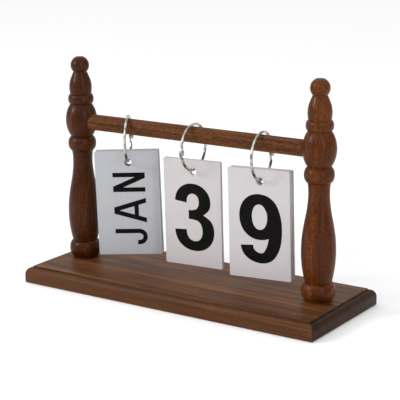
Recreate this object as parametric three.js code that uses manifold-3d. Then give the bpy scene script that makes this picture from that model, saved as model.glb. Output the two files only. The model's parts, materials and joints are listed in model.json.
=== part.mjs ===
// Flip desk calendar: a moulded wooden base, two turned posts, a dowel crossbar between them,
// and three book rings on the crossbar that each carry a deck of punched cards.
// Millimetres, +Z up. The origin is the middle of the base's underside, and the front faces -Y.
import * as THREE from "three";
import { mergeVertices } from "three/addons/utils/BufferGeometryUtils.js";
import Module from "manifold-3d";

const wasm = await Module();
wasm.setup();

// ---------------------------------------------------------------- driving dimensions

const GAP = 0.3; // clearance between pieces that fit into or round each other
const OVERCUT = 1; // how far a cutting tool runs past the face that it cuts

const BASE = { length: 250, width: 94, height: 12.7 };
const MOULDING = { riser: 1.15, ledge: 0.8, roundAcross: 3.9, roundUp: 5.6, arris: 0.9, arcSteps: 7 };

const POST = { offset: 103, height: 155.6, sides: 20 };
const BAR = { radius: 6, height: 119.4, end: 98, sides: 20 };

const SCREW = { shank: 1.75, head: 3.5, recess: 1.5, coneHeight: 2.2, length: 28, tip: 4, sides: 12 };
const DRIVER_SLOT = { width: 0.8, span: 3.8, depth: 1 };

const WIRE = { radius: 1, sides: 8, steps: 16 };
const RING = { radius: 16.75, hang: 0.55 };
const KNUCKLE = { eye: 2, thickness: 1.1, angle: 85, sides: 12 };
const RIVET = { shank: 0.6, head: 1.3, headThickness: 0.5, sides: 8 };
const CLASP = { tongue: 0.45, length: 1, wallGap: 0.25, sides: 6 };

const CARD = { width: 48, height: 79.5, thickness: 0.6, pitch: 0.7, corner: 1 };
const PUNCH = { radius: 2.75, fromTop: 8.7, fromMiddle: 1.1, belowWire: 1.2, sides: 14 };

const MONTHS = ["jan", "feb", "mar", "apr", "may", "jun", "jul", "aug", "sep", "oct", "nov", "dec"];
const TENS = ["3", "0", "1", "2"];
const UNITS = ["9", "0", "1", "2", "3", "4", "5", "6", "7", "8"];

// Each deck: where its ring hangs on the bar, how far ring and cards are turned towards the viewer's
// right (yaw) and skewed in their own plane (roll), in degrees, and which side the ring's hinge is on.
const DECKS = [
  { name: "month", cards: MONTHS, x: -59.2, yaw: 28.8, roll: 1.6, hinge: "back" },
  { name: "tens", cards: TENS, x: -0.3, yaw: 3, roll: 0.9, hinge: "front" },
  { name: "units", cards: UNITS, x: 57.2, yaw: 6, roll: 1.2, hinge: "back" },
];

// The rings hang round the bar, clear of its top.
const RING_HEIGHT = BAR.height + BAR.radius + RING.hang - (RING.radius - WIRE.radius);

// ---------------------------------------------------------------- materials

const paint = (color, roughness, metalness = 0) =>
  new THREE.MeshStandardMaterial({ color, roughness, metalness });

const MATERIAL = {
  plank: paint(0x4a2a1a, 0.45),
  turned: paint(0x5a2a12, 0.35),
  dowel: paint(0x6b4026, 0.5),
  nickel: paint(0xc8c6c0, 0.22, 1),
  card: paint(0xe6e2df, 0.6),
  steel: paint(0x9a9a98, 0.4, 1),
};

// ---------------------------------------------------------------- helpers

const rad = THREE.MathUtils.degToRad;

// A closed three.js geometry as a solid that can be joined and cut.
function solidOf(geometry) {
  const bare = geometry.clone();
  bare.deleteAttribute("normal");
  bare.deleteAttribute("uv");
  const merged = mergeVertices(bare, 1e-4);
  return new wasm.Manifold(
    new wasm.Mesh({
      numProp: 3,
      vertProperties: merged.attributes.position.array,
      triVerts: new Uint32Array(merged.index.array),
    }),
  );
}

function geometryOf(solid) {
  const mesh = solid.getMesh();
  const geometry = new THREE.BufferGeometry();
  geometry.setAttribute("position", new THREE.BufferAttribute(mesh.vertProperties, 3));
  geometry.setIndex(new THREE.BufferAttribute(mesh.triVerts, 1));
  return geometry;
}

function meshOf(name, geometry, material) {
  const mesh = new THREE.Mesh(geometry, material);
  mesh.name = name;
  return mesh;
}

// A body turned about Z from an outline of [radius, z] points that runs up from the axis to the axis.
function turned(outline, sides) {
  const points = outline.map(([radius, z]) => new THREE.Vector2(radius, z));
  return new THREE.LatheGeometry(points, sides).rotateX(Math.PI / 2);
}

// A cylinder of the given length along X, starting at x = from.
function rodAlongX(radius, from, length, sides) {
  return new THREE.CylinderGeometry(radius, radius, length, sides)
    .rotateZ(Math.PI / 2)
    .translate(from + length / 2, 0, 0);
}

// Points on an elliptical swelling of an outline, from its lower end to its upper end.
// The ellipse is centred on [radius, z] and runs between the angles from and to, in degrees.
function swelling([radius, z], [across, up], from, to, steps) {
  const points = [];
  for (let i = 0; i <= steps; i++) {
    const angle = rad(from + ((to - from) * i) / steps);
    points.push([radius + across * Math.cos(angle), z + up * Math.sin(angle)]);
  }
  return points;
}

// Points on a smooth curve through a few [radius, z] stations.
function flowing(stations, steps) {
  const curve = new THREE.SplineCurve(stations.map(([radius, z]) => new THREE.Vector2(radius, z)));
  return curve.getPoints(steps).map((point) => [point.x, point.y]);
}

// ---------------------------------------------------------------- base plank

// The plank's cross-section, for a plank of the given total width: a small arris below, an upright
// edge, a tall quarter round, a narrow ledge, and a riser up to the flat top.
function plankSection(width) {
  const half = width / 2;
  const { riser, ledge, roundAcross, roundUp, arris, arcSteps } = MOULDING;
  const ledgeHeight = BASE.height - riser;
  const roundStart = [half - roundAcross, ledgeHeight - roundUp];
  const wall = half - roundAcross - ledge;
  const right = [
    [half - arris, 0],
    [half, arris],
    ...swelling(roundStart, [roundAcross, roundUp], 0, 90, arcSteps),
    [wall, ledgeHeight],
    [wall, BASE.height],
  ];
  const left = right.map(([x, z]) => [-x, z]).reverse();
  return new THREE.Shape([...right, ...left].map(([x, z]) => new THREE.Vector2(x, z)));
}

// The section drawn in XZ or YZ, extruded over the whole plank in the other direction.
function plankSlab(sectionWidth, run) {
  return new THREE.ExtrudeGeometry(plankSection(sectionWidth), { depth: run, bevelEnabled: false })
    .translate(0, 0, -run / 2)
    .rotateX(Math.PI / 2);
}

// The screw's outline, or with a gap the outline of the hole that takes it. It points up.
function screwOutline(gap) {
  const { shank, head, recess, coneHeight, length, tip } = SCREW;
  const bottom = gap ? -OVERCUT : recess;
  return [
    [0, bottom],
    [head + gap, bottom],
    [head + gap, recess + gap],
    [shank + gap, recess + coneHeight + gap],
    [shank + gap, recess + length - tip + gap],
    [0, recess + length + gap],
  ];
}

function screwHole() {
  return solidOf(turned(screwOutline(GAP), SCREW.sides));
}

function makeBase() {
  const alongX = solidOf(plankSlab(BASE.width, BASE.length + 2 * OVERCUT).rotateZ(Math.PI / 2));
  const alongY = solidOf(plankSlab(BASE.length, BASE.width + 2 * OVERCUT));
  let plank = alongX.intersect(alongY);
  for (const side of [-1, 1]) {
    plank = plank.subtract(screwHole().translate([side * POST.offset, 0, 0]));
  }
  return meshOf("base", geometryOf(plank), MATERIAL.plank);
}

function makeScrew(name, x) {
  let screw = solidOf(turned(screwOutline(0), SCREW.sides));
  for (const turn of [0, Math.PI / 2]) {
    const slot = new THREE.BoxGeometry(DRIVER_SLOT.span, DRIVER_SLOT.width, DRIVER_SLOT.depth * 2);
    screw = screw.subtract(solidOf(slot.rotateZ(turn).translate(0, 0, SCREW.recess)));
  }
  const mesh = meshOf(name, geometryOf(screw), MATERIAL.steel);
  mesh.position.x = x;
  return mesh;
}

// ---------------------------------------------------------------- turned posts

// The turning, from the foot up: foot bead, long belly, collar bead, bulb that holds the bar,
// thin bead, vase and ball finial. Heights are above the base's top.
function postOutline() {
  return [
    [0, 0],
    [9.7, 0],
    [9.9, 1.2],
    ...swelling([9.3, 7.4], [2.75, 5.9], -72, 78, 6),
    [9.3, 13.6],
    ...flowing(
      [
        [9.5, 13.9],
        [10.9, 20.5],
        [11.9, 28.5],
        [12.15, 36.5],
        [11.75, 45],
        [10.4, 54.5],
        [8.5, 64.5],
        [7.5, 74],
        [7.65, 81.5],
        [8.2, 84],
      ],
      12,
    ),
    [7.9, 84.4],
    ...swelling([7.4, 89.7], [3.2, 5.6], -68, 68, 6),
    [8.2, 95.4],
    ...swelling([0, 107.6], [11.9, 17], -45, 45, 7),
    [8.1, 120.1],
    ...swelling([7.8, 123.7], [1.85, 3.7], -70, 70, 5),
    [7.9, 127.5],
    ...flowing(
      [
        [8.1, 127.9],
        [8.5, 132.6],
        [7.9, 137.2],
        [6.4, 141.3],
        [5.45, 143.6],
      ],
      5,
    ),
    [5.15, 144.1],
    ...swelling([0, 149.2], [6.95, 6.95], -41, 67, 7),
    [0, POST.height],
  ];
}

// side is -1 for the left post and 1 for the right one. The bar's socket opens towards the middle.
function makePost(name, side) {
  const socket = rodAlongX(BAR.radius + GAP, 0, BAR.end + GAP, BAR.sides);
  socket.translate(-POST.offset, 0, BAR.height - BASE.height);
  if (side < 0) socket.rotateZ(Math.PI);
  const post = solidOf(turned(postOutline(), POST.sides))
    .subtract(solidOf(socket))
    .subtract(screwHole().translate([0, 0, -BASE.height]));
  const mesh = meshOf(name, geometryOf(post), MATERIAL.turned);
  mesh.position.set(side * POST.offset, 0, BASE.height);
  return mesh;
}

function makeBar() {
  const rod = rodAlongX(BAR.radius, -BAR.end, 2 * BAR.end, BAR.sides);
  const mesh = meshOf("crossbar", rod, MATERIAL.dowel);
  mesh.position.z = BAR.height;
  return mesh;
}

// ---------------------------------------------------------------- book rings

// The ring's own frame: its centre at the origin, its plane YZ, its front towards -Y.
// An angle on the ring is measured from its lowest point towards the front.
class RingArc extends THREE.Curve {
  constructor(from, to) {
    super();
    this.from = from;
    this.to = to;
  }
  getPoint(t, target = new THREE.Vector3()) {
    const angle = rad(this.from + (this.to - this.from) * t);
    return target.set(0, -RING.radius * Math.sin(angle), -RING.radius * Math.cos(angle));
  }
}

function wireAlong(curve) {
  const section = new THREE.Shape().absarc(0, 0, WIRE.radius, 0, 2 * Math.PI);
  return solidOf(
    new THREE.ExtrudeGeometry(section, {
      steps: WIRE.steps,
      curveSegments: WIRE.sides / 2,
      extrudePath: curve,
    }),
  );
}

// A short cylinder across the ring's plane, between x = from and x = to, at an angle on the ring.
function discAcross(radius, from, to, angle, sides) {
  const spot = new RingArc(angle, angle).getPoint(0);
  return solidOf(rodAlongX(radius, from, to - from, sides).translate(0, spot.y, spot.z));
}

// A short cylinder along the wire, starting at an angle on the ring and running towards larger angles
// (direction 1) or smaller ones (direction -1).
function pinAlongWire(radius, length, angle, direction, sides) {
  const spot = new RingArc(angle, angle).getPoint(0);
  const pin = new THREE.CylinderGeometry(radius, radius, length, sides);
  pin.translate(0, length / 2, 0);
  const heading = rad(angle);
  const along = new THREE.Vector3(0, -Math.cos(heading), Math.sin(heading)).multiplyScalar(direction);
  const turn = new THREE.Quaternion().setFromUnitVectors(new THREE.Vector3(0, 1, 0), along);
  return solidOf(pin.applyQuaternion(turn).translate(spot.x, spot.y, spot.z));
}

// One half of a ring. It ends in a flat eye at the hinge, on its own side of the ring's plane, and in
// one half of the clasp at the other end. The cards hang from the lower half, and the upper half
// lifts off the bar.
function halfRing(hingeAngle, half) {
  const upper = half === "upper";
  const forward = hingeAngle > 0 ? 1 : -1;
  const claspAngle = hingeAngle - 180 * forward;
  const mouth = (GAP / 2 / RING.radius) * (180 / Math.PI);
  const farEnd = upper ? hingeAngle + 180 * forward - mouth * forward : claspAngle + mouth * forward;
  const cheek = upper ? 1 : -1;
  const inner = (cheek * GAP) / 2;
  const outer = cheek * (GAP / 2 + KNUCKLE.thickness);
  const far = -cheek * 2 * KNUCKLE.eye;
  const span = (a, b) => [Math.min(a, b), Math.max(a, b)];
  const { eye, sides } = KNUCKLE;
  let body = wireAlong(new RingArc(hingeAngle, farEnd))
    .subtract(discAcross(eye + GAP, ...span(inner, far), hingeAngle, sides))
    .add(discAcross(eye, ...span(inner, outer), hingeAngle, sides))
    .subtract(discAcross(RIVET.shank + GAP, -eye - OVERCUT, eye + OVERCUT, hingeAngle, RIVET.sides));
  // The tongue on the lower half's end enters a socket in the upper half's end.
  const { tongue, length, wallGap } = CLASP;
  if (upper) {
    const socket = pinAlongWire(tongue + wallGap, length + GAP * 2, farEnd, -forward, CLASP.sides);
    body = body.subtract(socket);
  } else {
    const root = claspAngle + 2 * mouth * forward;
    body = body.add(pinAlongWire(tongue, length + GAP, root, -forward, CLASP.sides));
  }
  return geometryOf(body);
}

function rivet(hingeAngle) {
  const face = GAP / 2 + KNUCKLE.thickness + GAP / 2;
  const { shank, head, headThickness, sides } = RIVET;
  const end = face + headThickness;
  return geometryOf(
    discAcross(shank, -end, end, hingeAngle, sides)
      .add(discAcross(head, face, end, hingeAngle, sides))
      .add(discAcross(head, -end, -face, hingeAngle, sides)),
  );
}

function addRing(deckGroup, deck) {
  const hingeAngle = deck.hinge === "front" ? KNUCKLE.angle : -KNUCKLE.angle;
  const prefix = deck.name + "_ring_";
  deckGroup.add(
    meshOf(prefix + "upper_half", halfRing(hingeAngle, "upper"), MATERIAL.nickel),
    meshOf(prefix + "lower_half", halfRing(hingeAngle, "lower"), MATERIAL.nickel),
    meshOf(prefix + "rivet", rivet(hingeAngle), MATERIAL.nickel),
  );
}

// ---------------------------------------------------------------- cards

// A card's outline with its punched hole at the origin, in a plane where y is up. The hole is a
// little to the right of the card's middle.
function cardShape() {
  const { width, height, corner } = CARD;
  const top = PUNCH.fromTop;
  const bottom = top - height;
  const right = width / 2 - PUNCH.fromMiddle;
  const left = right - width;
  const shape = new THREE.Shape();
  shape.moveTo(left + corner, bottom);
  shape.absarc(right - corner, bottom + corner, corner, -Math.PI / 2, 0);
  shape.absarc(right - corner, top - corner, corner, 0, Math.PI / 2);
  shape.absarc(left + corner, top - corner, corner, Math.PI / 2, Math.PI);
  shape.absarc(left + corner, bottom + corner, corner, Math.PI, 1.5 * Math.PI);
  return shape;
}

function makeCardGeometry() {
  const { thickness } = CARD;
  const blank = new THREE.ExtrudeGeometry(cardShape(), {
    depth: thickness,
    bevelEnabled: false,
    curveSegments: 2,
  });
  const { radius, sides } = PUNCH;
  const punch = new THREE.CylinderGeometry(radius, radius, 2 * (thickness + OVERCUT), sides);
  const sheet = solidOf(blank).subtract(solidOf(punch.rotateX(Math.PI / 2)));
  return geometryOf(sheet).translate(0, 0, -thickness / 2).rotateX(Math.PI / 2);
}

const CARD_GEOMETRY = makeCardGeometry();

// The first card of a deck hangs in front, and the others behind it, one pitch apart. Each hangs as
// high as the wire is where it passes through the card.
function addCards(deckGroup, deck) {
  deck.cards.forEach((label, index) => {
    const card = meshOf(deck.name + "_card_" + label, CARD_GEOMETRY, MATERIAL.card);
    const along = (index - (deck.cards.length - 1) / 2) * CARD.pitch;
    const wireDrop = Math.sqrt(RING.radius ** 2 - along ** 2);
    card.position.set(0, along, -wireDrop - PUNCH.belowWire);
    card.rotation.y = -rad(deck.roll);
    deckGroup.add(card);
  });
}

// ---------------------------------------------------------------- assembly

const calendar = new THREE.Group();
calendar.name = "flip_desk_calendar";
calendar.add(
  makeBase(),
  makePost("left_post", -1),
  makePost("right_post", 1),
  makeBar(),
  makeScrew("left_screw", -POST.offset),
  makeScrew("right_screw", POST.offset),
);
for (const deck of DECKS) {
  const deckGroup = new THREE.Group();
  deckGroup.position.set(deck.x, 0, RING_HEIGHT);
  deckGroup.rotation.z = rad(deck.yaw);
  addRing(deckGroup, deck);
  addCards(deckGroup, deck);
  calendar.add(deckGroup);
}

export default calendar;
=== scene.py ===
"""Looks of the flip desk calendar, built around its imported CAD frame.

Shapes are modelled in millimetres and scaled to metres when a piece is made.
+Z is up, +X runs along the base to the reader's right, and -Y faces the reader.
"""

import json
import math
import random

import bmesh
import bpy
from mathutils import Matrix, Vector, geometry


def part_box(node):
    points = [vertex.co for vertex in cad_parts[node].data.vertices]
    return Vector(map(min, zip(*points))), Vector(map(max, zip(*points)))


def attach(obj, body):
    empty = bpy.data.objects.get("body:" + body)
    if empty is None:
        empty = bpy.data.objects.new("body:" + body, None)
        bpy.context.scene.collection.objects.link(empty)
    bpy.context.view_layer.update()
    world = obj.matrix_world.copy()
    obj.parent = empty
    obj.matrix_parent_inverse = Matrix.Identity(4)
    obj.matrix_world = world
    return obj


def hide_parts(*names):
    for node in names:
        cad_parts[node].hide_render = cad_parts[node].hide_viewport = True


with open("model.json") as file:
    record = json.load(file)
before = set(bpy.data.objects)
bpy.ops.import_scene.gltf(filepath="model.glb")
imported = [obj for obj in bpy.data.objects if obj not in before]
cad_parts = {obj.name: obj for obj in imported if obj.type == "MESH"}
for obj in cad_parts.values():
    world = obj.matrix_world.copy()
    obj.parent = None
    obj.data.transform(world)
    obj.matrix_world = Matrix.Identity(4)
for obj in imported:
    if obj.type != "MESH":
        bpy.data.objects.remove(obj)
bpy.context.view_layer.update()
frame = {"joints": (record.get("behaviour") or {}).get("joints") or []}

# ---------------------------------------------------------------- driving dimensions, mm

MM = 0.001

PLANK_CORNER = 0.5  # radius of the plank's softened mitre corners
MOULDING = {"arris": 0.9, "round_across": 3.9, "round_up": 5.6, "ledge": 0.8, "riser": 1.15, "lip": 0.3}

SOCKET_GAP = 0.06  # between the crossbar and the sockets in the posts

SCREW = {"shank": 1.75, "core": 1.25, "head": 3.5, "recess": 1.5, "cone": 2.2, "length": 28, "tip": 4}
SCREW_GAP = 0.25
THREAD = {"pitch": 1.3, "steps": 8, "sides": 32, "run_in": 1.5}
DRIVER_SLOT = {"width": 0.8, "span": 3.8, "depth": 1.0}

WIRE = 1.0
EYE = {"radius": 2.0, "thickness": 1.1, "gap": 0.15, "run": 6.2}  # run: from the pin to the round wire
RIVET = {"shank": 0.6, "head": 1.3, "dome": 0.6, "rim": 0.12, "play": 0.06}
CLASP = {"mouth": 0.05, "chamfer": 0.16, "tongue": 0.45, "socket": 0.6, "length": 1.3}

CARD = {"width": 48.0, "height": 79.5, "thickness": 0.6, "corner": 1.0, "edge": 0.06}
PUNCH = {"radius": 2.75, "from_top": 8.7, "from_middle": 1.1, "below_wire": 1.2}
CARD_SHUFFLE = 0.14  # how far a card behind the first may sit out of line

INK = 0.02  # thickness of the printed layer
DIGIT = {"height": 50.5, "bottom": 11.3}
MONTH = {"cap": 24.3, "bottom": 7.1, "full": 56.7}
LETTER_SPACE = 0.2  # of a capital's height

LATHE_SIDES = 96
WIRE_SIDES = 24
ARC_STEPS = 10  # steps in a quarter turn of a printed curve


# ---------------------------------------------------------------- the frame's own places, mm

def box_mm(node):
    low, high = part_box(node)
    return low / MM, high / MM


BASE_HIGH = box_mm("base")[1]
BAR_LOW, BAR_HIGH = box_mm("crossbar")
BAR_RADIUS = (BAR_HIGH.z - BAR_LOW.z) / 2
BAR_HEIGHT = (BAR_HIGH.z + BAR_LOW.z) / 2


def post_x(side):
    low, high = box_mm(side + "_post")
    return (low.x + high.x) / 2


def joint_named(name):
    return next(joint for joint in frame["joints"] if joint["name"] == name)


class Deck:
    """One ring and its cards: where the CAD frame puts them, in the ring's own frame.

    That frame has its centre at the ring's centre, +X across the ring and +Y towards the back.
    """

    def __init__(self, name):
        self.name = name
        flips = [joint for joint in frame["joints"] if joint["name"].startswith(name + "_flip_")]
        self.labels = [joint["name"].rsplit("_", 1)[1] for joint in reversed(flips)]
        self.centre = Vector(flips[0]["pos_m"]) / MM
        across = -Vector(flips[0]["axis"])
        self.yaw = math.atan2(across.y, across.x)
        self.place = Matrix.Translation(self.centre) @ Matrix.Rotation(self.yaw, 4, "Z")
        pin = self.place.inverted() @ (Vector(joint_named(name + "_ring_open")["pos_m"]) / MM)
        self.radius = pin.length
        # An angle on the ring is measured from its lowest point towards the front.
        self.hinge = math.atan2(-pin.y, -pin.z)

    def card_place(self, label):
        """Where a card's punched hole is, and how the card is skewed in its own plane."""
        low, high = box_mm(self.name + "_card_" + label)
        middle = self.place.inverted() @ ((low + high) / 2)
        wire_drop = math.sqrt(self.radius ** 2 - middle.y ** 2)
        hole = Vector((0, middle.y, -wire_drop - PUNCH["below_wire"]))
        hung = middle - hole
        offset = math.atan2(PUNCH["from_middle"], CARD["height"] / 2 - PUNCH["from_top"])
        skew = math.atan2(hung.x, -hung.z) + offset
        return self.place @ Matrix.Translation(hole) @ Matrix.Rotation(-skew, 4, "Y")


# ---------------------------------------------------------------- mesh helpers

def strip(bm, loop_a, loop_b):
    """Quads between two closed loops of vertices."""
    count = len(loop_a)
    for i in range(count):
        j = (i + 1) % count
        bm.faces.new((loop_a[i], loop_a[j], loop_b[j], loop_b[i]))


def loft(loops):
    """A closed solid through loops of points, with a flat cap on each end."""
    bm = bmesh.new()
    rows = [[bm.verts.new(point) for point in loop] for loop in loops]
    for lower, upper in zip(rows, rows[1:]):
        strip(bm, lower, upper)
    bm.faces.new(rows[0])
    bm.faces.new(rows[-1])
    bmesh.ops.recalc_face_normals(bm, faces=bm.faces)
    return bm


def turned(outline, sides=LATHE_SIDES):
    """A body turned about Z from an outline of (radius, z) points, with a flat cap on each end."""
    def ring(radius, z):
        angles = (2 * math.pi * i / sides for i in range(sides))
        return [(radius * math.cos(a), radius * math.sin(a), z) for a in angles]
    return loft([ring(radius, z) for radius, z in outline])


def laid_along_x(bm):
    bm.transform(Matrix.Rotation(math.pi / 2, 4, "Y"))
    return bm


def carved(solid, tool):
    """solid with tool cut out of it. Both are used up."""
    objects = []
    for part in (solid, tool):
        mesh = bpy.data.meshes.new("carving")
        part.to_mesh(mesh)
        part.free()
        objects.append(bpy.data.objects.new("carving", mesh))
        bpy.context.scene.collection.objects.link(objects[-1])
    body, cutter = objects
    cut = body.modifiers.new("cut", "BOOLEAN")
    cut.operation = "DIFFERENCE"
    cut.solver = "EXACT"
    cut.object = cutter
    bpy.context.view_layer.update()
    shaped = body.evaluated_get(bpy.context.evaluated_depsgraph_get())
    result = bmesh.new()
    result.from_mesh(shaped.to_mesh())
    shaped.to_mesh_clear()
    for obj in objects:
        bpy.data.meshes.remove(obj.data)
    return result


def piece(name, bm, materials, body, node=None, sharp=35):
    """A finished piece in the frame: it rides on a CAD body and may stand for a CAD node."""
    bm.transform(Matrix.Scale(MM, 4))
    mesh = bpy.data.meshes.new(name)
    bm.to_mesh(mesh)
    bm.free()
    mesh.shade_smooth()
    mesh.set_sharp_from_angle(angle=math.radians(sharp))
    for material in materials:
        mesh.materials.append(material)
    obj = bpy.data.objects.new(name, mesh)
    bpy.context.scene.collection.objects.link(obj)
    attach(obj, body)
    if node:
        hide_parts(node)
    return obj


def swelling(centre, axes, start, end, steps):
    """Points on an ellipse, between two angles in degrees."""
    points = []
    for i in range(steps + 1):
        angle = math.radians(start + (end - start) * i / steps)
        points.append((centre[0] + axes[0] * math.cos(angle), centre[1] + axes[1] * math.sin(angle)))
    return points


def flowing(stations, steps):
    """Points on a smooth curve through a few stations, with the given steps in each span."""
    ends = [stations[0], *stations, stations[-1]]
    points = []
    for a, b, c, d in zip(ends, ends[1:], ends[2:], ends[3:]):
        for i in range(steps):
            t = i / steps
            points.append(tuple(
                0.5 * (2 * q + (r - p) * t + (2 * p - 5 * q + 4 * r - s) * t * t
                       + (3 * q - p - 3 * r + s) * t ** 3)
                for p, q, r, s in zip(a, b, c, d)
            ))
    points.append(stations[-1])
    return points


def eased(value, start, end):
    """0 before start, 1 after end, and smooth between."""
    t = min(max((value - start) / (end - start), 0), 1)
    return t * t * (3 - 2 * t)


# ---------------------------------------------------------------- materials

MIX_SHARE, MIX_FIRST, MIX_SECOND = 0, 6, 7  # a Mix node's inputs when it mixes colours
MIX_RESULT = 2  # and its output


class Shader:
    """A node material under construction."""

    def __init__(self, name):
        self.material = bpy.data.materials.new(name)
        self.material.use_nodes = True
        self.tree = self.material.node_tree
        self.tree.nodes.clear()
        output = self.tree.nodes.new("ShaderNodeOutputMaterial")
        self.surface = self.tree.nodes.new("ShaderNodeBsdfPrincipled")
        self.link(self.surface.outputs["BSDF"], output.inputs["Surface"])
        self.coordinates = self.tree.nodes.new("ShaderNodeTexCoord").outputs["Object"]

    def link(self, source, target):
        self.tree.links.new(source, target)

    def constants(self, **values):
        for key, value in values.items():
            self.surface.inputs[key.replace("_", " ")].default_value = value

    def grain(self, size, detail=4.0, roughness=0.55, distortion=0.0, shift=0.0):
        """Noise whose features are size = (x, y, z) millimetres long."""
        mapping = self.tree.nodes.new("ShaderNodeMapping")
        mapping.inputs["Scale"].default_value = [1 / (MM * length) for length in size]
        mapping.inputs["Location"].default_value = (shift, shift * 0.7, shift * 0.3)
        noise = self.tree.nodes.new("ShaderNodeTexNoise")
        noise.inputs["Scale"].default_value = 1.0
        noise.inputs["Detail"].default_value = detail
        noise.inputs["Roughness"].default_value = roughness
        noise.inputs["Distortion"].default_value = distortion
        self.link(self.coordinates, mapping.inputs["Vector"])
        self.link(mapping.outputs["Vector"], noise.inputs["Vector"])
        return noise.outputs["Fac"]

    def ramp(self, source, stops):
        """source run through a ramp of (position, colour or grey) stops."""
        ramp = self.tree.nodes.new("ShaderNodeValToRGB")
        elements = ramp.color_ramp.elements
        while len(elements) < len(stops):
            elements.new(0.5)
        for element, (position, colour) in zip(elements, stops):
            element.position = position
            grey = isinstance(colour, (int, float))
            element.color = (colour, colour, colour, 1) if grey else (*colour, 1)
        self.link(source, ramp.inputs["Fac"])
        return ramp.outputs["Color"]

    def span(self, source, low, high, from_low=0.3, from_high=0.7):
        """source mapped to the range from low to high."""
        node = self.tree.nodes.new("ShaderNodeMapRange")
        node.inputs["From Min"].default_value = from_low
        node.inputs["From Max"].default_value = from_high
        node.inputs["To Min"].default_value = low
        node.inputs["To Max"].default_value = high
        self.link(source, node.inputs["Value"])
        return node.outputs["Result"]

    def mix(self, first, second, share):
        """first, with the given share of it replaced by second. Each may be a value or a socket."""
        node = self.tree.nodes.new("ShaderNodeMix")
        node.data_type = "RGBA"
        for value, index in ((first, MIX_FIRST), (second, MIX_SECOND), (share, MIX_SHARE)):
            socket = node.inputs[index]
            if isinstance(value, bpy.types.NodeSocket):
                self.link(value, socket)
            elif isinstance(value, (int, float)):
                socket.default_value = value
            else:
                socket.default_value = (*value, 1)
        return node.outputs[MIX_RESULT]

    def times(self, first, second, share=1.0):
        """first multiplied by the given share of second."""
        product = self.mix(first, second, share)
        product.node.blend_type = "MULTIPLY"
        return product

    def add(self, first, second, scale):
        """first plus scale times second."""
        node = self.tree.nodes.new("ShaderNodeMath")
        node.operation = "MULTIPLY_ADD"
        self.link(second, node.inputs[0])
        node.inputs[1].default_value = scale
        self.link(first, node.inputs[2])
        return node.outputs["Value"]

    def distance(self, axis):
        """How far a point is from the plank's middle along an axis."""
        split = self.tree.nodes.new("ShaderNodeSeparateXYZ")
        size = self.tree.nodes.new("ShaderNodeMath")
        size.operation = "ABSOLUTE"
        self.link(self.coordinates, split.inputs["Vector"])
        self.link(split.outputs[axis], size.inputs[0])
        return size.outputs["Value"]

    def mouldings(self):
        """Masks for the mouldings across the plank's ends, as far as their mitres, and along its sides."""
        run, side = self.distance("X"), self.distance("Y")
        inset = MOULDING["round_across"] + MOULDING["ledge"]
        mitre = BASE_HIGH.x - BASE_HIGH.y

        soft = 0.2

        def past(value, line):
            return self.span(value, 0, 1, (line - soft) * MM, (line + soft) * MM)

        within_mitres = past(self.add(run, side, -1), mitre)
        across = self.times(past(run, BASE_HIGH.x - inset), within_mitres)
        return across, past(side, BASE_HIGH.y - inset)

    def edges(self, most):
        """0 on the mesh's faces, and up to the given share on its outer edges."""
        pointiness = self.tree.nodes.new("ShaderNodeNewGeometry").outputs["Pointiness"]
        outer = self.span(pointiness, 0, 1, 0.50, 0.56)
        return self.span(outer, 0, most, 0, 1)

    def bump(self, height, depth):
        """Relief of the given depth in millimetres."""
        node = self.tree.nodes.new("ShaderNodeBump")
        node.inputs["Strength"].default_value = 1.0
        node.inputs["Distance"].default_value = depth * MM
        self.link(height, node.inputs["Height"])
        self.link(node.outputs["Normal"], self.surface.inputs["Normal"])

    def colour(self, source):
        self.link(source, self.surface.inputs["Base Color"])

    def roughness(self, source):
        self.link(source, self.surface.inputs["Roughness"])


EDGE_WEAR_AND_HIGHLIGHT = {"share": 0.16, "paler": 2.2}  # how far the wood's outer edges are paler: stain rubbed off them, and painted highlights along them
EVEN_MOULDING = 0.65  # how far the grain is sanded out of the mouldings along the plank's sides


def along(axis, length, width):
    """A feature size that is long on one axis and narrow on the other two."""
    return tuple(length if name == axis else width for name in "XYZ")


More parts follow.
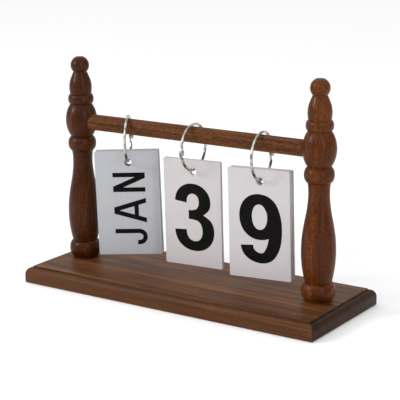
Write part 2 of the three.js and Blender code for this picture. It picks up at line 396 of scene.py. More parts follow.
def wood(name, axis, tones, streaky, speckled, rough, coat, gloss, shift, pore_depth=0.04, ends=None):
    """Stained wood under lacquer, with its grain along an axis.

    tones are the stain's dark, middle and light colours. streaky and speckled are the darkest and
    lightest share of them along a fibre and in a fine speckle, gloss is the surface's reflection, and
    ends is the share left of the tones on a plank's end mouldings, which darkens them as painted shade.
    """
    shader = Shader(name)
    bands = shader.grain(along(axis, 150, 9), 3, 0.5, 0.6, shift)
    streaks = shader.grain(along(axis, 66, 1.35), 5, 0.55, 0.3, shift + 3)
    pores = shader.grain(along(axis, 6.5, 0.25), 2, 0.5, 0.0, shift + 7)
    speckle = shader.grain(along(axis, 1.6, 0.7), 3, 0.6, 0.0, shift + 9)
    stain = shader.ramp(bands, list(zip((0.38, 0.5, 0.62), tones)))
    fibres = shader.ramp(streaks, list(zip((0.41, 0.57), streaky)))
    open_pores = shader.ramp(pores, [(0.36, 0.5), (0.44, 1.0)])
    body = shader.times(stain, fibres)
    body = shader.times(body, open_pores, 0.75)
    body = shader.times(body, shader.ramp(speckle, list(zip((0.38, 0.62), speckled))))
    if ends:
        across, along_sides = shader.mouldings()
        even = shader.times(tones[1], shader.ramp(speckle, [(0.35, 0.42), (0.65, 0.92)]))
        body = shader.mix(body, even, shader.span(along_sides, 0, EVEN_MOULDING, 0, 1))
        # Painted shade: the mouldings across the plank's ends are darkened to the share given by ends.
        body = shader.times(body, shader.ramp(across, [(0.0, 1.0), (1.0, ends)]))
    # Rubbed stain and painted highlights: the outer edges are mixed towards a paler colour.
    worn_and_lit_edge = [c * EDGE_WEAR_AND_HIGHLIGHT["paler"] for c in tones[2]]
    shader.colour(shader.mix(body, worn_and_lit_edge, shader.edges(EDGE_WEAR_AND_HIGHLIGHT["share"])))
    shader.roughness(shader.span(speckle, *rough))
    shader.bump(shader.add(open_pores, streaks, 0.35), pore_depth)
    shader.constants(Coat_Weight=coat, Coat_Roughness=0.14, Coat_IOR=1.5)
    shader.constants(IOR=1.45, Specular_IOR_Level=gloss)
    return shader.material


def nickel(name, shift):
    """Nickel plate with fine scuffs and dull patches, its colour darkened in patches as painted reflection
    of dark surroundings.
    """
    shader = Shader(name)
    haze_and_dark_reflection = shader.grain((4.5, 4.5, 4.5), 2, 0.5, 0, shift)
    scuffs = shader.grain((0.12, 2.2, 2.2), 3, 0.6, 0.5, shift + 2)
    # Painted reflection: the dark end of this colour ramp stands for dark surroundings mirrored in the
    # wire.
    shader.colour(shader.ramp(haze_and_dark_reflection, [(0.38, (0.20, 0.185, 0.165)), (0.60, (0.60, 0.58, 0.55))]))
    shader.roughness(shader.span(shader.add(haze_and_dark_reflection, scuffs, 0.5), 0.12, 0.34, 0.5, 0.95))
    shader.bump(scuffs, 0.004)
    shader.constants(Metallic=1.0)
    return shader.material


def steel(name):
    """Zinc-plated steel with turning marks."""
    shader = Shader(name)
    cloud = shader.grain((1.6, 1.6, 1.6), 4, 0.6)
    marks = shader.grain((0.25, 0.25, 0.25), 2, 0.5)
    shader.colour(shader.ramp(cloud, [(0.3, (0.34, 0.34, 0.33)), (0.7, (0.56, 0.56, 0.55))]))
    shader.roughness(shader.span(cloud, 0.3, 0.5))
    shader.bump(marks, 0.01)
    shader.constants(Metallic=1.0)
    return shader.material


def card_stock(name, tint, shift):
    """Smooth uncoated card with a faint mottle and fine fibres."""
    shader = Shader(name)
    mottle = shader.grain((9, 9, 9), 4, 0.6, 0, shift)
    fibres = shader.grain((0.35, 0.35, 0.35), 4, 0.65, 0.3, shift + 5)
    clean = shader.ramp(mottle, [(0.3, [c * 0.955 for c in tint]), (0.7, tint)])
    shader.colour(shader.times(clean, shader.ramp(fibres, [(0.3, 0.93), (0.6, 1.0)]), 0.6))
    shader.roughness(shader.span(fibres, 0.5, 0.65))
    shader.bump(fibres, 0.012)
    shader.constants(IOR=1.45, Specular_IOR_Level=0.3)
    return shader.material


def printing_ink(name):
    """Black ink that shows a little of the card's fibre."""
    shader = Shader(name)
    fibres = shader.grain((0.35, 0.35, 0.35), 4, 0.65, 0.3, 5)
    patches = shader.grain((6, 6, 6), 3, 0.5, 0, 2)
    black = shader.ramp(patches, [(0.3, (0.0035, 0.0035, 0.003)), (0.7, (0.006, 0.0057, 0.005))])
    shader.colour(black)
    shader.roughness(shader.span(fibres, 0.42, 0.58))
    shader.bump(fibres, 0.008)
    shader.constants(IOR=1.45, Specular_IOR_Level=0.05)
    return shader.material


# ---------------------------------------------------------------- base plank

def plank_section():
    """(inset, z) round the plank's edge, from the underside up to the flat top."""
    arris, across, up, lip = (MOULDING[key] for key in ("arris", "round_across", "round_up", "lip"))
    step_height = BASE_HIGH.z - MOULDING["riser"]
    wall = across + MOULDING["ledge"]
    return [
        *swelling((arris, arris), (arris, arris), 270, 180, 4),
        *swelling((across, step_height - up), (across, up), 180, 90, 14),
        *swelling((wall - lip / 2, step_height + lip / 2), (lip / 2, lip / 2), 270, 360, 3),
        *swelling((wall + lip, BASE_HIGH.z - lip), (lip, lip), 180, 90, 5),
    ]


def plank_loop(inset, z):
    """One turn round the plank at an inset from its full outline."""
    points = []
    half_x = BASE_HIGH.x - inset - PLANK_CORNER
    half_y = BASE_HIGH.y - inset - PLANK_CORNER
    for corner, (side_x, side_y) in enumerate(((1, 1), (-1, 1), (-1, -1), (1, -1))):
        middle = (side_x * half_x, side_y * half_y)
        turn = swelling(middle, (PLANK_CORNER, PLANK_CORNER), 90 * corner, 90 * corner + 90, 4)
        points.extend((x, y, z) for x, y in turn)
    return points


def screw_hole():
    """The space that a screw takes, its gap included, with its axis on Z."""
    gap = SCREW_GAP
    base, cone = SCREW["recess"], SCREW["recess"] + SCREW["cone"]
    return turned([
        (SCREW["head"] + gap, -1),
        (SCREW["head"] + gap, base + gap),
        (SCREW["shank"] + gap, cone + gap),
        (SCREW["shank"] + gap, SCREW["recess"] + SCREW["length"] - SCREW["tip"] + gap),
        (0.3, SCREW["recess"] + SCREW["length"] + gap),
    ], 48)


def build_base(material):
    plank = loft([plank_loop(inset, z) for inset, z in plank_section()])
    for side in ("left", "right"):
        hole = screw_hole()
        hole.transform(Matrix.Translation((post_x(side), 0, 0)))
        plank = carved(plank, hole)
    piece("moulded_base", plank, [material], "stand", "base")


def screw_thread(z, cone_top, end):
    """The shank's radius at a height, as a function of the angle round it."""
    taper = min(1, (end - z) / SCREW["tip"] + 0.06)
    rise = eased(z, cone_top, cone_top + THREAD["run_in"])
    core = SCREW["core"] + (1 - rise) * 0.3

    def radius(angle):
        phase = (z / THREAD["pitch"] - angle / (2 * math.pi)) % 1
        crest = max(0, 1 - abs(phase - 0.5) * 4)
        return (core + (SCREW["shank"] - core) * crest * rise) * taper

    return radius


def build_screw(side, material):
    """A countersunk wood screw with a thread round its shank and a cross slot in its head."""
    head, recess = SCREW["head"], SCREW["recess"]
    cone_top = recess + SCREW["cone"]
    end = recess + SCREW["length"]

    def ring(radius_at, z):
        angles = [2 * math.pi * i / THREAD["sides"] for i in range(THREAD["sides"])]
        return [(radius_at(a) * math.cos(a), radius_at(a) * math.sin(a), z) for a in angles]

    profile = ((head - 0.2, recess), (head, recess + 0.12), (head, recess + 0.3), (1.6, cone_top))
    loops = [ring(lambda a, r=radius: r, z) for radius, z in profile]
    steps = round((end - cone_top - 2) / THREAD["pitch"]) * THREAD["steps"]
    for i in range(1, steps + 1):
        z = cone_top + 0.3 + (end - cone_top - 0.4) * i / steps
        loops.append(ring(screw_thread(z, cone_top, end), z))
    screw = loft(loops)
    for turn in (0, math.pi / 2):
        slot = bmesh.new()
        bmesh.ops.create_cube(slot, size=1)
        size = Matrix.Diagonal((DRIVER_SLOT["span"], DRIVER_SLOT["width"], DRIVER_SLOT["depth"] * 2, 1))
        slot.transform(Matrix.Translation((0, 0, recess)) @ Matrix.Rotation(turn, 4, "Z") @ size)
        screw = carved(screw, slot)
    screw.transform(Matrix.Translation((post_x(side), 0, 0)))
    piece(side + "_wood_screw", screw, [material], "stand", side + "_screw", 25)


# ---------------------------------------------------------------- turned posts and crossbar

def post_outline():
    """(radius, height above the base) up the turning, from its foot to the top of its ball."""
    low, high = box_mm("left_post")
    return [
        (9.7, 0),
        (9.9, 1.1),
        *swelling((9.3, 7.4), (2.75, 5.9), -72, 78, 20),
        (9.25, 13.6),
        *flowing([(9.5, 13.9), (10.9, 20.5), (11.9, 28.5), (12.15, 36.5), (11.75, 45),
                  (10.4, 54.5), (8.5, 64.5), (7.5, 74), (7.65, 81.5), (8.2, 84)], 5),
        (7.9, 84.4),
        *swelling((7.4, 89.7), (3.2, 5.6), -68, 68, 18),
        (8.2, 95.4),
        *swelling((0, 107.6), (11.9, 17), -45, 45, 24),
        (8.1, 120.1),
        *swelling((7.8, 123.7), (1.85, 3.7), -70, 70, 14),
        (7.9, 127.5),
        *flowing([(8.1, 127.9), (8.5, 132.6), (7.9, 137.2), (6.4, 141.3), (5.45, 143.6)], 5),
        (5.15, 144.1),
        *swelling((0, 149.2), (6.95, 6.95), -41, 65, 24),
        *swelling((0, high.z - low.z - 0.9), (2.9, 0.9), 12, 86, 5),
    ]


def build_post(side, material):
    """A turned post with a blind socket for the crossbar and a hole for its screw."""
    post = turned(post_outline())
    post.transform(Matrix.Translation((post_x(side), 0, BASE_HIGH.z)))
    radius = BAR_RADIUS + SOCKET_GAP
    reach = 20
    socket = laid_along_x(turned([(radius, 0), (radius, reach)], 64))
    start = BAR_LOW.x - SOCKET_GAP if side == "left" else BAR_HIGH.x + SOCKET_GAP - reach
    socket.transform(Matrix.Translation((start, 0, BAR_HEIGHT)))
    post = carved(post, socket)
    hole = screw_hole()
    hole.transform(Matrix.Translation((post_x(side), 0, 0)))
    post = carved(post, hole)
    piece(side + "_turned_post", post, [material], "stand", side + "_post", 28)


def build_crossbar(material):
    """A dowel with chamfered ends, very slightly out of round as stock dowel is."""
    length = BAR_HIGH.x - BAR_LOW.x
    chamfer, play = 0.5, 0.04
    sides, spans = 80, 40
    stations = [(0, chamfer), (chamfer, 0)]
    stations += [(length * i / spans, 0) for i in range(1, spans)]
    stations += [(length - chamfer, 0), (length, chamfer)]
    loops = []
    for run, inset in stations:
        loop = []
        for i in range(sides):
            angle = 2 * math.pi * i / sides
            waver = 0.025 * math.sin(2 * angle + run / 37) + 0.015 * math.sin(run / 19)
            radius = BAR_RADIUS - inset - play + waver
            loop.append((BAR_LOW.x + run, radius * math.cos(angle), BAR_HEIGHT + radius * math.sin(angle)))
        loops.append(loop)
    piece("dowel_crossbar", loft(loops), [material], "stand", "crossbar")


# ---------------------------------------------------------------- book rings

def ring_point(radius, angle, across, outward):
    reach = radius + outward
    return (across, -reach * math.sin(angle), -reach * math.cos(angle))


def wire_loop(radius, angle, offset, half_across, half_out, squareness):
    """One section of the wire, from round (squareness 2) to nearly square (4 and up)."""
    points = []
    for i in range(WIRE_SIDES):
        turn = 2 * math.pi * i / WIRE_SIDES
        c, s = math.cos(turn), math.sin(turn)
        across = math.copysign(abs(c) ** (2 / squareness), c) * half_across
        outward = math.copysign(abs(s) ** (2 / squareness), s) * half_out
        points.append(ring_point(radius, angle, offset + across, outward))
    return points


def half_ring(deck, upper):
    """One half of a ring, swept from its flattened eye at the hinge round to the clasp."""
    towards_top = math.copysign(1, deck.hinge)
    way = towards_top if upper else -towards_top
    eye, flat = EYE["radius"], EYE["thickness"] / 2
    lug_offset = (EYE["gap"] + flat) * (1 if upper else -1)
    run_out = EYE["run"]
    end = math.pi * deck.radius - CLASP["mouth"]
    eye_steps, neck_steps, wire_steps = 8, 26, 64
    # A station is (run along the wire, offset across the ring, half sizes across and out, squareness).
    stations = []
    for i in range(eye_steps + 1):
        turn = math.radians(8 + 82 * i / eye_steps)
        stations.append((-eye * math.cos(turn), lug_offset, flat, eye * math.sin(turn), 4))
    for i in range(1, neck_steps + 1):
        run = run_out * i / neck_steps
        slim = eased(run, 0.5, 3.0)
        back = eased(run, 2.6, 6.0)
        stations.append((
            run,
            lug_offset * (1 - back),
            flat + (WIRE - flat) * back,
            eye + (WIRE - eye) * slim,
            4 - 2 * back,
        ))
    straight = end - CLASP["chamfer"] - run_out
    for i in range(1, wire_steps + 1):
        stations.append((run_out + straight * i / wire_steps, 0, WIRE, WIRE, 2))
    rim = WIRE - CLASP["chamfer"]
    inner = CLASP["socket"] if upper else CLASP["tongue"]
    depth = -CLASP["length"] - 0.2 if upper else CLASP["length"]
    for run, half in ((end, rim), (end, inner), (end + depth * 0.9, inner), (end + depth, inner * 0.7)):
        stations.append((run, 0, half, half, 2))
    loops = [
        wire_loop(deck.radius, deck.hinge + way * run / deck.radius, *section)
        for run, *section in stations
    ]
    half_wire = loft(loops)
    bore, reach = RIVET["shank"] + RIVET["play"], 3
    hole = laid_along_x(turned([(bore, -reach), (bore, reach)], 24))
    hole.transform(Matrix.Translation(ring_point(deck.radius, deck.hinge, 0, 0)))
    half_wire = carved(half_wire, hole)
    half_wire.transform(deck.place)
    return half_wire


def ring_rivet(deck):
    """A rivet with a domed head on each side of the two eyes."""
    face = EYE["gap"] + EYE["thickness"] + 0.03
    shank, head, dome, rim = (RIVET[key] for key in ("shank", "head", "dome", "rim"))
    near = swelling((0, face + rim), (head, dome - rim), 0, 80, 10)
    outline = [(r, -z) for r, z in reversed(near)]
    outline += [(head, -face), (shank, -face), (shank, face), (head, face)]
    outline += near
    rivet = laid_along_x(turned(outline, 40))
    rivet.transform(deck.place @ Matrix.Translation(ring_point(deck.radius, deck.hinge, 0, 0)))
    return rivet


def build_ring(deck, material):
    prefix = deck.name + "_ring_"
    ring, lifting = deck.name + "_ring", deck.name + "_ring_upper"
    piece(prefix + "upper_wire", half_ring(deck, True), [material], lifting,
          prefix + "upper_half")
    piece(prefix + "lower_wire", half_ring(deck, False), [material], ring,
          prefix + "lower_half")
    piece(prefix + "hinge_rivet", ring_rivet(deck), [material], ring, prefix + "rivet")


# ---------------------------------------------------------------- flat shapes with thickness

def region(outlines, holes=()):
    """Points and triangles of the union of some simple outlines, less some holes."""
    points, faces = [], []
    for outline in (*outlines, *holes):
        faces.append(list(range(len(points), len(points) + len(outline))))
        points.extend(Vector(point) for point in outline)
    made = geometry.delaunay_2d_cdt(points, [], faces, 0, 1e-4, True)
    triangles = [
        triangle for triangle, owners in zip(made[2], made[5])
        if owners and all(owner < len(outlines) for owner in owners)
    ]
    return made[0], triangles


def plate(points, triangles, layers):
    """A closed sheet from a flat region. layers are (y, overhang) from its front to its back.

    The region's x and y become the sheet's x and z. overhang moves the rim outwards.
    """
    rim = {}
    for a, b, c in triangles:
        for edge in ((a, b), (b, c), (c, a)):
            if edge[::-1] in rim:
                del rim[edge[::-1]]
            else:
                rim[edge] = True
    outward = {}
    for a, b in rim:
        run = points[b] - points[a]
        normal = Vector((run.y, -run.x)).normalized()
        for end in (a, b):
            outward[end] = outward.get(end, Vector((0, 0))) + normal
    bm = bmesh.new()

    def vertex(index, y, overhang):
        at = points[index]
        if overhang:
            at = at + outward[index].normalized() * overhang
        return bm.verts.new((at.x, y, at.y))

    rows = [{i: vertex(i, y, overhang) for i in outward} for y, overhang in layers]
    caps = []
    for row, (y, _) in ((rows[0], layers[0]), (rows[-1], layers[-1])):
        used = {i for triangle in triangles for i in triangle}
        caps.append({i: row[i] if i in row else vertex(i, y, 0) for i in used})
    for a, b, c in triangles:
        bm.faces.new((caps[0][a], caps[0][b], caps[0][c]))
        bm.faces.new((caps[1][c], caps[1][b], caps[1][a]))
    for front, back in zip(rows, rows[1:]):
        for a, b in rim:
            bm.faces.new((front[b], front[a], back[a], back[b]))
    bmesh.ops.recalc_face_normals(bm, faces=bm.faces)
    return bm


# ---------------------------------------------------------------- printed digits and letters
# A glyph is a list of outlines in units of its own height, with its lower left corner at the origin.

def bar(x0, y0, x1, y1):
    return [[(x0, y0), (x1, y0), (x1, y1), (x0, y1)]]


def slant(x0, y0, x1, y1, width):
    """A sloping stroke whose ends are cut level."""
    half = width / 2
    return [[(x0 - half, y0), (x0 + half, y0), (x1 + half, y1), (x1 - half, y1)]]


def arc(cx, cy, rx, ry, start, end, squareness=2.0):
    """Points on an ellipse, or on a squarer one, between two angles in degrees."""
    steps = max(2, round(abs(end - start) / 90 * ARC_STEPS))
    points = []
    for i in range(steps + 1):
        angle = math.radians(start + (end - start) * i / steps)
        c, s = math.cos(angle), math.sin(angle)
        x = math.copysign(abs(c) ** (2 / squareness), c)
        y = math.copysign(abs(s) ** (2 / squareness), s)
        points.append((cx + rx * x, cy + ry * y))
    return points


def ribbon(path, pen, crowded=None):
    """A stroke along a path, as wide as a pen that is broader across than it is tall.

    crowded is (x, y, reach, share): near that point the stroke's outer side, on the left of its way
    along the path, is nearer its middle by the given share.
    """
    sides = []
    for i, (x, y) in enumerate(path):
        light = 1
        if crowded:
            nearness = 1 - eased(math.hypot(x - crowded[0], y - crowded[1]), 0.02, crowded[2])
            light = 1 - crowded[3] * nearness
        before, after = path[max(i - 1, 0)], path[min(i + 1, len(path) - 1)]
        dx, dy = after[0] - before[0], after[1] - before[1]
        length = math.hypot(dx, dy)
        nx, ny = -dy / length, dx / length
        half = math.hypot(pen[0] * nx, pen[1] * ny)
        outer = half * light
        sides.append(((x + nx * outer, y + ny * outer), (x - nx * half, y - ny * half)))
    return [[a[0], a[1], b[1], b[0]] for a, b in zip(sides, sides[1:])]


def turned_over(outlines, width, height=1.0):
    """The same glyph turned half round in its own plane."""
    return [[(width - x, height - y) for x, y in outline] for outline in outlines]


HEAVY = (0.098, 0.074)  # the digits' pen: half its breadth and half its height
PLAIN = (0.07, 0.067)  # the letters' pen


def digit_nine():
    bowl = arc(0.314, 0.668, 0.216, 0.256, 0, 360, 2.1)
    back = arc(0.314, 0.52, 0.244, 0.404, 90, 0, 2.15)
    back += arc(0.326, 0.52, 0.232, 0.446, 0, -90, 2.25)[1:]
    back += arc(0.326, 0.252, 0.215, 0.178, 270, 180)[1:]
    return ribbon(bowl, HEAVY) + ribbon(back, HEAVY)


def digit_three():
    waist = (0.48, 0.54, 0.17, 0.4)
    upper = arc(0.318, 0.7325, 0.199, 0.1935, 176, -90, 2.05)
    upper.insert(0, (upper[0][0] - 0.003, 0.722))
    lower = arc(0.338, 0.3065, 0.232, 0.2325, 90, -180, 2.1)
    return ribbon(upper, HEAVY, waist) + ribbon(lower, HEAVY, waist) + bar(0.245, 0.472, 0.34, 0.606)


def digit_two():
    sweep = arc(0.325, 0.70, 0.222, 0.226, 178, -12, 2.1)
    sweep += flowing([sweep[-1], (0.47, 0.50), (0.31, 0.335), (0.165, 0.19), (0.125, 0.074)], 6)[1:]
    return ribbon(sweep, HEAVY) + bar(0.03, 0, 0.64, 0.15)


def digit_five():
    bowl = arc(0.315, 0.325, 0.24, 0.251, 143, -180, 2.1)
    return ribbon(bowl, HEAVY) + slant(0.165, 0.44, 0.215, 1.0, 0.17) + bar(0.14, 0.852, 0.59, 1.0)


def digit_one():
    flag = flowing([(0.08, 0.775), (0.2, 0.79), (0.3, 0.86), (0.345, 0.96)], 6)
    return bar(0.285, 0, 0.48, 1.0) + ribbon(flag, (0.07, 0.062))


DIGITS = {
    "0": (0.66, ribbon(arc(0.33, 0.5, 0.232, 0.426, 0, 360, 2.25), HEAVY)),
    "1": (0.56, digit_one()),
    "2": (0.66, digit_two()),
    "3": (0.67, digit_three()),
    "4": (0.68, slant(0.125, 0.29, 0.415, 1.0, 0.17) + bar(0.03, 0.21, 0.67, 0.355)
          + bar(0.38, 0, 0.565, 1.0)),
    "5": (0.66, digit_five()),
    "6": (0.656, turned_over(digit_nine(), 0.656)),
    "7": (0.64, bar(0.03, 0.852, 0.62, 1.0)
          + ribbon(flowing([(0.535, 0.9), (0.40, 0.66), (0.31, 0.36), (0.275, 0)], 8), HEAVY)),
    "8": (0.66, ribbon(arc(0.33, 0.735, 0.205, 0.191, 0, 360, 2.1), HEAVY)
          + ribbon(arc(0.33, 0.308, 0.232, 0.234, 0, 360, 2.1), HEAVY)),
    "9": (0.656, digit_nine()),
}

STEM = 2 * PLAIN[0]
RAIL = 2 * PLAIN[1]


def bowl(width, low, high):
    """A rounded lobe from a stem at the left."""
    middle, tall = (low + high) / 2, (high - low) / 2
    reach = min(tall - PLAIN[1], width - PLAIN[0] - 0.1)
    turn = arc(width - PLAIN[0] - reach, middle, reach, tall - PLAIN[1], 90, -90, 2.15)
    flats = bar(0.03, low, turn[0][0] + 0.01, low + RAIL) + bar(0.03, high - RAIL, turn[0][0] + 0.01, high)
    return ribbon(turn, PLAIN) + flats


def letter_s():
    upper = arc(0.32, 0.727, 0.225, 0.205, 28, 270, 2.1)
    lower = arc(0.32, 0.293, 0.245, 0.227, 90, -152, 2.1)
    return ribbon(upper, PLAIN) + ribbon(lower, PLAIN)


LEFT_STEM = bar(0, 0, STEM, 1)
LETTERS = {
    "A": (0.78, slant(0.075, 0, 0.365, 1, 0.15) + slant(0.705, 0, 0.415, 1, 0.15)
          + bar(0.16, 0.235, 0.62, 0.37)),
    "B": (0.64, LEFT_STEM + bowl(0.60, 0.5 - PLAIN[1], 1) + bowl(0.64, 0, 0.5 + PLAIN[1])),
    "C": (0.70, ribbon(arc(0.385, 0.5, 0.316, 0.434, 42, 318, 2.2), PLAIN)),
    "D": (0.68, LEFT_STEM + bowl(0.68, 0, 1)),
    "E": (0.56, LEFT_STEM + bar(0.05, 0, 0.56, RAIL) + bar(0.05, 0.44, 0.52, 0.57)
          + bar(0.05, 1 - RAIL, 0.56, 1)),
    "F": (0.54, LEFT_STEM + bar(0.05, 0.44, 0.49, 0.57) + bar(0.05, 1 - RAIL, 0.54, 1)),
    "G": (0.74, ribbon(arc(0.385, 0.5, 0.316, 0.434, 42, 350, 2.2), PLAIN)
          + bar(0.40, 0.38, 0.735, 0.505) + bar(0.60, 0.05, 0.735, 0.5)),
    "J": (0.5, bar(0.5 - STEM, 0.29, 0.5, 1)
          + ribbon([(0.5 - PLAIN[0], 0.34), *arc(0.25, 0.265, 0.18, 0.198, 0, -180, 2.1), (0.072, 0.31)],
                   PLAIN)),
    "L": (0.53, LEFT_STEM + bar(0.05, 0, 0.53, RAIL)),
    "M": (0.78, LEFT_STEM + bar(0.78 - STEM, 0, 0.78, 1)
          + slant(0.39, 0, 0.09, 1, 0.16) + slant(0.39, 0, 0.69, 1, 0.16)),
    "N": (0.605, LEFT_STEM + bar(0.605 - STEM, 0, 0.605, 1) + slant(0.515, 0, 0.09, 1, 0.165)),
    "O": (0.76, ribbon(arc(0.38, 0.5, 0.311, 0.434, 0, 360, 2.2), PLAIN)),
    "P": (0.61, LEFT_STEM + bowl(0.61, 0.42, 1)),
    "R": (0.65, LEFT_STEM + bowl(0.61, 0.43, 1) + slant(0.57, 0, 0.40, 0.47, 0.155)),
    "S": (0.64, letter_s()),
    "T": (0.60, bar(0.3 - PLAIN[0], 0, 0.3 + PLAIN[0], 1) + bar(0, 1 - RAIL, 0.60, 1)),
    "U": (0.62, bar(0, 0.3, STEM, 1) + bar(0.62 - STEM, 0.3, 0.62, 1)
          + ribbon(arc(0.31, 0.31, 0.2415, 0.244, 180, 360, 2.15), PLAIN)),
    "V": (0.72, slant(0.36, 0, 0.075, 1, 0.15) + slant(0.36, 0, 0.645, 1, 0.15)),
    "Y": (0.70, bar(0.35 - PLAIN[0], 0, 0.35 + PLAIN[0], 0.45)
          + slant(0.35, 0.40, 0.08, 1, 0.155) + slant(0.35, 0.40, 0.62, 1, 0.155)),
}


def digit_print(label):
    """The outlines of a digit, in millimetres from the card's hole."""
    width, outlines = DIGITS[label]
    height = DIGIT["height"]
    left = -width * height / 2
    bottom = PUNCH["from_top"] - CARD["height"] + DIGIT["bottom"]
    return [[(left + x * height, bottom + y * height) for x, y in outline] for outline in outlines]


def month_print(label):
    """The outlines of a month's letters, which run up the card, in millimetres from its hole."""
    cap = MONTH["cap"]
    run = 0
    outlines = []
    for letter in label.upper():
        width, shapes = LETTERS[letter]
        for shape in shapes:
            outlines.append([(run + x, y) for x, y in shape])
        run += width + LETTER_SPACE
    length = (run - LETTER_SPACE) * cap
    window = CARD["height"] - PUNCH["from_top"] - PUNCH["radius"] - MONTH["bottom"]
    bottom = PUNCH["from_top"] - CARD["height"] + MONTH["bottom"] + max(0, (MONTH["full"] - length) / 2)
    scale = min(1, (window - 2) / length)
    left = cap / 2
    return [
        [(left - y * cap, bottom + x * cap * scale) for x, y in outline]
        for outline in outlines
    ]


# ---------------------------------------------------------------- cards

def card_sheet():
    """A card with softened edges, its punched hole at the origin and its face towards -Y."""
    edge = CARD["edge"]
    right = CARD["width"] / 2 - PUNCH["from_middle"] - edge
    left = right - CARD["width"] + 2 * edge
    top = PUNCH["from_top"] - edge
    bottom = PUNCH["from_top"] - CARD["height"] + edge
    corner = CARD["corner"] - edge
    outline = []
    for i, (x, z) in enumerate(((right, top), (left, top), (left, bottom), (right, bottom))):
        centre = (x - math.copysign(corner, x), z + (-corner if z == top else corner))
        outline += swelling(centre, (corner, corner), 90 * i, 90 * i + 90, 6)
    hole = swelling((0, 0), (PUNCH["radius"] + edge,) * 2, 0, 360 - 7.5, 47)
    points, triangles = region([outline], [hole])
    half_thick = CARD["thickness"] / 2
    layers = [(-half_thick, 0), (-half_thick + edge, edge), (half_thick - edge, edge), (half_thick, 0)]
    return plate(points, triangles, layers)


def build_cards(deck, stock, ink, chance):
    for index, label in enumerate(deck.labels):
        node = f"{deck.name}_card_{label}"
        place = deck.card_place(label)
        slide = [chance.uniform(-CARD_SHUFFLE, CARD_SHUFFLE) for _ in range(2)]
        tilt = chance.uniform(-0.0025, 0.0025)
        if index:
            place = place @ Matrix.Translation((slide[0], 0, slide[1])) @ Matrix.Rotation(tilt, 4, "Y")
        sheet = card_sheet()
        sheet.transform(place)
        piece(node + "_sheet", sheet, [stock], node, node)
        outlines = month_print(label) if deck.name == "month" else digit_print(label)
        face = -CARD["thickness"] / 2
        printed = plate(*region(outlines), [(face - INK, 0), (face + 0.005, 0)])
        printed.transform(place)
        piece(node + "_print", printed, [ink], node)


# ---------------------------------------------------------------- stage, lights and camera

FLOOR = {"half_width": 30, "below": 0.0002}  # metres


def build_floor():
    shader = Shader("studio_floor")
    paper = shader.grain((2, 2, 2), 3, 0.5)
    shader.colour(shader.ramp(paper, [(0.3, 0.92), (0.7, 0.96)]))
    shader.constants(Roughness=0.9)
    floor_mesh = bmesh.new()
    bmesh.ops.create_grid(floor_mesh, x_segments=8, y_segments=8, size=FLOOR["half_width"])
    mesh = bpy.data.meshes.new("studio_floor")
    floor_mesh.to_mesh(mesh)
    floor_mesh.free()
    mesh.materials.append(shader.material)
    floor = bpy.data.objects.new("studio_floor", mesh)
    floor.location.z = -FLOOR["below"]
    bpy.context.scene.collection.objects.link(floor)


# Brightness of the studio's white surroundings, and the share of it that comes from the right.
SKY = {"horizon": 0.42, "zenith": 1.3, "right": 0.62}
AIM = (0, 0, 0.09)
KEY = {"place": (-0.95, -1.05, 0.79), "size": (0.4, 0.4), "power": 11, "colour": (1.0, 0.975, 0.965)}
SIDE = {"place": (0.85, -0.45, 0.45), "size": (0.18, 0.7), "power": 2.2, "colour": (0.95, 0.975, 1.0)}


def add_softbox(name, place, size, power, colour):
    light = bpy.data.lights.new(name, "AREA")
    light.shape = "RECTANGLE"
    light.size, light.size_y = size
    light.energy = power
    light.color = colour
    obj = bpy.data.objects.new(name, light)
    obj.location = place
    obj.rotation_euler = (Vector(AIM) - Vector(place)).to_track_quat("-Z", "Y").to_euler()
    bpy.context.scene.collection.objects.link(obj)


def light_stage():
    world = bpy.data.worlds.new("studio")
    world.use_nodes = True
    tree = world.node_tree
    direction = tree.nodes.new("ShaderNodeTexCoord").outputs["Generated"]
    split = tree.nodes.new("ShaderNodeSeparateXYZ")
    tree.links.new(direction, split.inputs["Vector"])
    both = tree.nodes.new("ShaderNodeMath")
    both.operation = "MULTIPLY"
    # A fade is (axis of the direction, where it starts and ends, brightness there).
    fades = (("Z", 0.0, 0.8, SKY["horizon"], SKY["zenith"]), ("X", 0.0, 0.7, 1.0, SKY["right"]))
    for (axis, start, end, first, last), share in zip(fades, both.inputs):
        fade = tree.nodes.new("ShaderNodeMapRange")
        fade.inputs["From Min"].default_value = start
        fade.inputs["From Max"].default_value = end
        fade.inputs["To Min"].default_value = first
        fade.inputs["To Max"].default_value = last
        tree.links.new(split.outputs[axis], fade.inputs["Value"])
        tree.links.new(fade.outputs["Result"], share)
    tree.links.new(both.outputs["Value"], tree.nodes["Background"].inputs["Strength"])
    tree.nodes["Background"].inputs["Color"].default_value = (1, 1, 1, 1)
    bpy.context.scene.world = world
    add_softbox("key_softbox", **KEY)
    add_softbox("side_softbox", **SIDE)


CAMERA = {
    "place": (0.54016, -0.78991, 0.313),
    "yaw": 34.13,
    "pitch": 14.2,
    "roll": -0.64,
    "lens": 122.24,
    "sensor": 36.0,
}


def aim_camera():
    yaw, pitch, roll = (math.radians(CAMERA[key]) for key in ("yaw", "pitch", "roll"))
    forward = Vector((-math.sin(yaw) * math.cos(pitch), math.cos(yaw) * math.cos(pitch), -math.sin(pitch)))
    level = Vector((math.cos(yaw), math.sin(yaw), 0))
    upright = level.cross(forward)
    right = math.cos(roll) * level + math.sin(roll) * upright
    up = -math.sin(roll) * level + math.cos(roll) * upright
    data = bpy.data.cameras.new("camera")
    data.sensor_width = CAMERA["sensor"]
    data.lens = CAMERA["lens"]
    data.clip_start = 0.05
    camera = bpy.data.objects.new("camera", data)
    turn = Matrix((right, up, -forward)).transposed().to_4x4()
    camera.matrix_world = Matrix.Translation(CAMERA["place"]) @ turn
    bpy.context.scene.collection.objects.link(camera)
    bpy.context.scene.camera = camera


# ---------------------------------------------------------------- the calendar

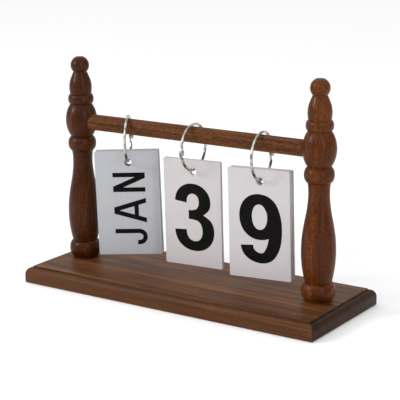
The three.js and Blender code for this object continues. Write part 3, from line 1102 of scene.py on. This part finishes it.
# Linear colours. Each wood has a dark, a middle and a light stain.
PLANK_TONES = ((0.054, 0.018, 0.005), (0.088, 0.032, 0.010), (0.128, 0.049, 0.018))
POST_TONES = ((0.062, 0.014, 0.0015), (0.086, 0.021, 0.0025), (0.116, 0.032, 0.004))
DOWEL_TONES = ((0.075, 0.026, 0.008), (0.105, 0.038, 0.012), (0.140, 0.054, 0.018))
LEFT_POST_SHARE = 0.68  # the left post took more stain
# All three decks are one card stock. The month card's darker, bluer tint is painted shade for a card
# turned away from the key light, and the small difference between the tens and units tints is painted
# light too.
CARD_TINTS_WITH_PAINTED_SHADE = {"month": (0.455, 0.462, 0.49), "tens": (0.53, 0.50, 0.51), "units": (0.545, 0.52, 0.533)}


def build_calendar():
    # ends=0.15 darkens the plank's end mouldings as painted shade.
    plank = wood("walnut_stain", "X", PLANK_TONES, streaky=(0.26, 1.36), speckled=(0.85, 1.15),
                 rough=(0.36, 0.46), coat=0.0, gloss=0.12, shift=0.0, ends=0.15)
    dowel = wood("light_brown_stain", "X", DOWEL_TONES, streaky=(0.7, 1.2), speckled=(0.5, 1.45),
                 rough=(0.5, 0.62), coat=0.0, gloss=0.08, shift=5.0)
    turnings = {
        side: wood(side + "_red_brown_lacquer", "Z", [[c * share for c in tone] for tone in POST_TONES],
                   streaky=(0.8, 1.12), speckled=(0.6, 1.35), rough=(0.28, 0.40), coat=0.06, gloss=0.12,
                   shift=shift, pore_depth=0.04)
        for side, share, shift in (("left", LEFT_POST_SHARE, 12.0), ("right", 1.0, 2.0))
    }
    ink = printing_ink("black_ink")
    zinc = steel("zinc_plate")
    chance = random.Random(11)
    build_base(plank)
    build_crossbar(dowel)
    for side in ("left", "right"):
        build_post(side, turnings[side])
        build_screw(side, zinc)
    for number, (name, tint) in enumerate(CARD_TINTS_WITH_PAINTED_SHADE.items()):
        deck = Deck(name)
        build_ring(deck, nickel(name + "_nickel", 4.0 * number))
        build_cards(deck, card_stock(name + "_card_stock", tint, 3.0 * number), ink, chance)


bpy.context.scene.view_settings.view_transform = "Standard"
aim_camera()
build_calendar()
build_floor()
light_stage()
